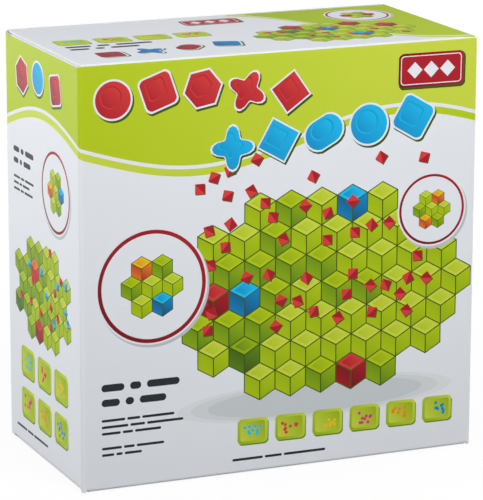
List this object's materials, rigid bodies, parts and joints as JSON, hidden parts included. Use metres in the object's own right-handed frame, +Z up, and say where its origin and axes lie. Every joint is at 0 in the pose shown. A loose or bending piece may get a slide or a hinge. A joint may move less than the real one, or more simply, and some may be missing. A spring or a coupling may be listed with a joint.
{
  "type": "puzzle sorting tray set in a carton",
  "caption": "Printed square tuck-end carton with hinged lids and flaps, holding a row of shallow stacking jigsaw-sorting trays.",
  "frame": {"origin": "middle of the carton's base, on the plane it stands on", "axes": "+Z up; -Y is the printed front that carries both lids' folds; +X to the right seen from the front"},
  "size_m": [0.27, 0.136, 0.27],
  "materials": {
    "carton_board": "coated fine-flute corrugated board, printed outside, plain inside",
    "tray_plastic": "lime green moulded polypropylene, satin"
  },
  "bodies": {
    "carton": {"front_panel": "carton_board", "back_panel": "carton_board", "left_panel": "carton_board", "right_panel": "carton_board", "glue_flap": "carton_board"},
    "top_lid": {"top_lid": "carton_board"},
    "top_tuck_flap": {"top_tuck_flap": "carton_board"},
    "top_left_dust_flap": {"top_left_dust_flap": "carton_board"},
    "top_right_dust_flap": {"top_right_dust_flap": "carton_board"},
    "bottom_lid": {"bottom_lid": "carton_board"},
    "bottom_tuck_flap": {"bottom_tuck_flap": "carton_board"},
    "bottom_left_dust_flap": {"bottom_left_dust_flap": "carton_board"},
    "bottom_right_dust_flap": {"bottom_right_dust_flap": "carton_board"},
    "tray_1": {"tray_1": "tray_plastic"},
    "tray_2": {"tray_2": "tray_plastic"},
    "tray_3": {"tray_3": "tray_plastic"},
    "tray_4": {"tray_4": "tray_plastic"},
    "tray_5": {"tray_5": "tray_plastic"},
    "tray_6": {"tray_6": "tray_plastic"}
  },
  "joints": [
    {"name": "top_lid_fold", "type": "hinge", "parent": "carton", "child": "top_lid", "pos_m": [0, -0.068, 0.27], "axis": [1, 0, 0], "range_deg": [0, 135]},
    {"name": "top_tuck_fold", "type": "hinge", "parent": "top_lid", "child": "top_tuck_flap", "pos_m": [0, 0.0662, 0.27], "axis": [1, 0, 0], "range_deg": [0, 45.1]},
    {"name": "top_left_dust_fold", "type": "hinge", "parent": "carton", "child": "top_left_dust_flap", "pos_m": [-0.135, 0, 0.2682], "axis": [0, -1, 0], "range_deg": [0, 101.5]},
    {"name": "top_right_dust_fold", "type": "hinge", "parent": "carton", "child": "top_right_dust_flap", "pos_m": [0.135, 0, 0.2682], "axis": [0, 1, 0], "range_deg": [0, 101.5]},
    {"name": "bottom_lid_fold", "type": "hinge", "parent": "carton", "child": "bottom_lid", "pos_m": [0, -0.068, 0], "axis": [-1, 0, 0], "range_deg": [0, 135]},
    {"name": "bottom_tuck_fold", "type": "hinge", "parent": "bottom_lid", "child": "bottom_tuck_flap", "pos_m": [0, 0.0662, 0], "axis": [-1, 0, 0], "range_deg": [0, 45.1]},
    {"name": "bottom_left_dust_fold", "type": "hinge", "parent": "carton", "child": "bottom_left_dust_flap", "pos_m": [-0.135, 0, 0.0018], "axis": [0, 1, 0], "range_deg": [0, 101.5]},
    {"name": "bottom_right_dust_fold", "type": "hinge", "parent": "carton", "child": "bottom_right_dust_flap", "pos_m": [0.135, 0, 0.0018], "axis": [0, -1, 0], "range_deg": [0, 101.5]},
    {"name": "tray_1_lift", "type": "slide", "parent": "carton", "child": "tray_1", "axis": [0, 0, 1], "range_m": [0, 0.0035]},
    {"name": "tray_2_lift", "type": "slide", "parent": "carton", "child": "tray_2", "axis": [0, 0, 1], "range_m": [0, 0.0035]},
    {"name": "tray_3_lift", "type": "slide", "parent": "carton", "child": "tray_3", "axis": [0, 0, 1], "range_m": [0, 0.0035]},
    {"name": "tray_4_lift", "type": "slide", "parent": "carton", "child": "tray_4", "axis": [0, 0, 1], "range_m": [0, 0.0035]},
    {"name": "tray_5_lift", "type": "slide", "parent": "carton", "child": "tray_5", "axis": [0, 0, 1], "range_m": [0, 0.0035]},
    {"name": "tray_6_lift", "type": "slide", "parent": "carton", "child": "tray_6", "axis": [0, 0, 1], "range_m": [0, 0.0035]}
  ],
  "couplings": [
    {"joint": "top_tuck_fold", "follows": "top_lid_fold", "ratio": 0.33333},
    {"joint": "top_left_dust_fold", "follows": "top_lid_fold", "ratio": 0.75},
    {"joint": "top_right_dust_fold", "follows": "top_lid_fold", "ratio": 0.75},
    {"joint": "bottom_tuck_fold", "follows": "bottom_lid_fold", "ratio": 0.33333},
    {"joint": "bottom_left_dust_fold", "follows": "bottom_lid_fold", "ratio": 0.75},
    {"joint": "bottom_right_dust_fold", "follows": "bottom_lid_fold", "ratio": 0.75}
  ]
}
